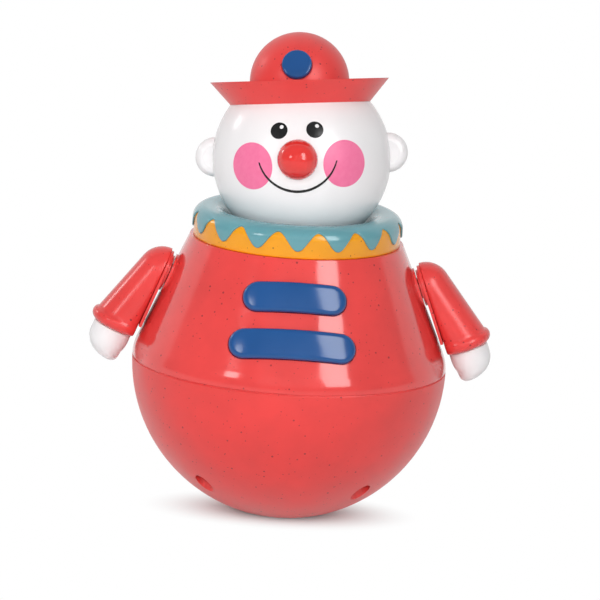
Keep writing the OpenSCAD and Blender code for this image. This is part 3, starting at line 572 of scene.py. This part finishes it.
sleeve("left_sleeve_flared", 1, "left_sleeve", "left_arm")
sleeve("right_sleeve_flared", -1, "right_sleeve", "right_arm")

# Hands: white mittens without fingers, flat on the inside, plugged into the cuffs by their wrists.
# They are moulded in the white plastic of the head.
hand_back = 2.9
hand_taper = 0.9
hand_out = 18.2
hand_half_w = 7.8
hand_end = 39
palm_n = 10.5
palm_s = 30.65
finger_n = 6.4
finger_r = 2.6
wrist_r = 6.4
wrist_in = 1.6
wrist_depths = (23, 26.2)
heel_out, heel_half_w, heel_in, heel_s = 7.2, 7.3, 0.5, 26.75
palm_depths = (27.1, 28, 29.3)
end_steps, end_turn, end_last = 24, 4, 89
outer_power, side_power = 0.8, 0.55
palm_shift = 0.2


def hand(name, side, node, body):
    """One mitten from its wrist to its round end, tapered on its flat side and round at its outer corner."""
    rings = [arm_ring(side, cuff_centre, wrist_r, wrist_r, sleeve_back + wrist_in, s) for s in wrist_depths]
    rings.append(arm_ring(side, palm_n, heel_out, heel_half_w, hand_back + heel_in, heel_s))
    for s in palm_depths:
        rings.append(arm_ring(side, palm_n, hand_out - palm_n, hand_half_w, hand_back, s))
    finger_s = hand_end - finger_r
    for i in range(end_steps):
        a = math.radians(min(end_turn * i, end_last))
        s = palm_s + (hand_end - palm_s) * math.sin(a)
        outer = finger_n + (hand_out - finger_n) * math.cos(a) ** outer_power
        if s < finger_s:
            inner = hand_back + hand_taper * (s - palm_s) / (finger_s - palm_s)
        else:
            inner = finger_n - math.sqrt(max(finger_r ** 2 - (s - finger_s) ** 2, 0))
        centre = min(palm_n, (outer + inner) / 2 + palm_shift)
        half_w = hand_half_w * math.cos(a) ** side_power
        rings.append(arm_ring(side, centre, outer - centre, half_w, inner, s))
    piece = mesh_piece(name, *skin(rings, side > 0), white_plastic)
    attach(piece, body)
    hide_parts(node)


hand("left_hand_mitten", 1, "left_hand", "left_arm")
hand("right_hand_mitten", -1, "right_hand", "right_arm")

# Floor: a wide sheet of white paper that the toy stands on.
# Near the toy it takes the shadow, which is shallow from front to back; further off it is plain white.
floor_half = 6.0
shadow_from, shadow_to = 0.008, 0.054
shadow_squeeze = (1, 1.7, 1)
floor_mesh = bpy.data.meshes.new("paper_floor")
corners = [(x * floor_half, y * floor_half, 0) for x, y in ((-1, -1), (1, -1), (1, 1), (-1, 1))]
floor_mesh.from_pydata(corners, [], [(0, 1, 2, 3)])
floor = bpy.data.objects.new("paper_floor", floor_mesh)
bpy.context.scene.collection.objects.link(floor)
# White paper: matt, bright, and seen as pure white away from the toy.
paper, tree = new_material("paper_white")
place = put(tree, "ShaderNodeTexCoord").outputs["Object"]
drawn_in = put(tree, "ShaderNodeVectorMath", {0: place, 1: shadow_squeeze}, operation="MULTIPLY")
away = put(tree, "ShaderNodeVectorMath", {0: drawn_in.outputs["Vector"]}, operation="LENGTH")
fade = put(tree, "ShaderNodeMapRange", {"Value": away.outputs["Value"], "From Min": shadow_from,
                                        "From Max": shadow_to}, interpolation_type="SMOOTHSTEP")
rays = put(tree, "ShaderNodeLightPath")
seen = put(tree, "ShaderNodeMath", {0: rays.outputs["Is Camera Ray"], 1: rays.outputs["Is Glossy Ray"]},
           operation="MAXIMUM")
seen = put(tree, "ShaderNodeMath", {0: seen.outputs["Value"], 1: rays.outputs["Is Transmission Ray"]},
           operation="MAXIMUM")
plain = put(tree, "ShaderNodeMath", {0: seen.outputs["Value"], 1: fade.outputs["Result"]}, operation="MULTIPLY")
matt = put(tree, "ShaderNodeBsdfDiffuse", {"Color": linear("#E4E4E4")})
white = put(tree, "ShaderNodeEmission", {"Color": (1, 1, 1, 1), "Strength": 1.0})
blend = put(tree, "ShaderNodeMixShader", {"Fac": plain.outputs["Value"], 1: matt.outputs["BSDF"],
                                          2: white.outputs["Emission"]})
put(tree, "ShaderNodeOutputMaterial", {"Surface": blend.outputs["Shader"]})
floor_mesh.materials.append(paper)

# Studio: white paper stands behind the toy and goes round it nearly to its sides.
# The room in front is dimmer. Seen by the camera, it is white all round.
paper_from, paper_to = 0.2, 0.3
front_level = 0.48
fill_level = 0.38
world = bpy.data.worlds.new("studio")
bpy.context.scene.world = world
world.use_nodes = True
tree = world.node_tree
tree.nodes.clear()
heading = put(tree, "ShaderNodeSeparateXYZ", {"Vector": put(tree, "ShaderNodeTexCoord").outputs["Generated"]})
behind = put(tree, "ShaderNodeMapRange", {"Value": heading.outputs["Y"], "From Min": paper_from,
                                          "From Max": paper_to, "To Min": front_level, "To Max": 1.0},
             interpolation_type="SMOOTHSTEP")
rays = put(tree, "ShaderNodeLightPath")
seen = put(tree, "ShaderNodeMath", {0: rays.outputs["Is Camera Ray"], 1: rays.outputs["Is Transmission Ray"]},
           operation="MAXIMUM")
mirrored = put(tree, "ShaderNodeMath", {0: behind.outputs["Result"], 1: rays.outputs["Is Glossy Ray"]},
               operation="MULTIPLY")
white_seen = put(tree, "ShaderNodeMath", {0: mirrored.outputs["Value"], 1: seen.outputs["Value"]},
                 operation="MAXIMUM")
level = put(tree, "ShaderNodeMath", {0: white_seen.outputs["Value"], 1: fill_level}, operation="MAXIMUM")
sky = put(tree, "ShaderNodeBackground", {"Color": (1, 1, 1, 1), "Strength": level.outputs["Value"]})
put(tree, "ShaderNodeOutputWorld", {"Surface": sky.outputs["Background"]})

# Lamps: soft fills from the front, the left and overhead light the toy and leave no highlight.
# A tall window box at the right is only mirrored, and two small lamps at the left glint on the shell.
aim = Vector((0, 0, 0.09))


def lamp(name, azimuth, elevation, distance, width, height, radiance, lights=True, mirrored=True):
    """A rectangular soft lamp aimed at the middle of the toy, which lights it, is mirrored in it, or both."""
    data = bpy.data.lights.new(name, "AREA")
    data.shape = "RECTANGLE"
    data.size, data.size_y = width, height
    data.energy = radiance * width * height * math.pi
    made = bpy.data.objects.new(name, data)
    bpy.context.scene.collection.objects.link(made)
    a, e = math.radians(azimuth), math.radians(elevation)
    away = Vector((math.sin(a) * math.cos(e), -math.cos(a) * math.cos(e), math.sin(e)))
    made.location = aim + away * distance
    made.rotation_mode = "QUATERNION"
    made.rotation_quaternion = away.to_track_quat("Z", "Y")
    made.visible_diffuse = lights
    made.visible_glossy = mirrored


lamp("window_box_right", 36, 28, 1.6, 0.55, 1.0, 6.2, lights=False)
lamp("fill_left", -45, 60, 1.6, 0.9, 0.9, 0.4, mirrored=False)
lamp("fill_front", -2, 22, 1.8, 1.3, 0.9, 5.5, mirrored=False)
lamp("overhead", 0, 85, 1.8, 1.4, 1.4, 0.1, mirrored=False)
lamp("glint_front_left", -44, 22, 1.6, 0.27, 0.35, 7)
lamp("glint_left", -116, 22, 1.6, 0.2, 0.25, 9)

# Camera: a long lens, a little above the toy.
# It is rolled a few degrees, as the toy leans in its picture.
elevation, azimuth, roll = math.radians(11.7), math.radians(-1.0), math.radians(3.6)
distance, field = 2.2, 0.2256
back = Vector((math.sin(azimuth) * math.cos(elevation), -math.cos(azimuth) * math.cos(elevation),
               math.sin(elevation)))
across = Vector((math.cos(azimuth), math.sin(azimuth), 0))
up = back.cross(across)
right_axis = across * math.cos(roll) + up * math.sin(roll)
up_axis = up * math.cos(roll) - across * math.sin(roll)
target = Vector((0.002763, 0.004695, 0.080482))
camera_data = bpy.data.cameras.new("camera")
camera = bpy.data.objects.new("camera", camera_data)
bpy.context.scene.collection.objects.link(camera)
camera.matrix_world = Matrix.Translation(target + back * distance) @ Matrix(
    (right_axis, up_axis, back)).transposed().to_4x4()
camera_data.sensor_width = 36
camera_data.lens = camera_data.sensor_width * distance / field
camera_data.clip_end = 50
bpy.context.scene.camera = camera
bpy.context.scene.view_settings.view_transform = "Standard"
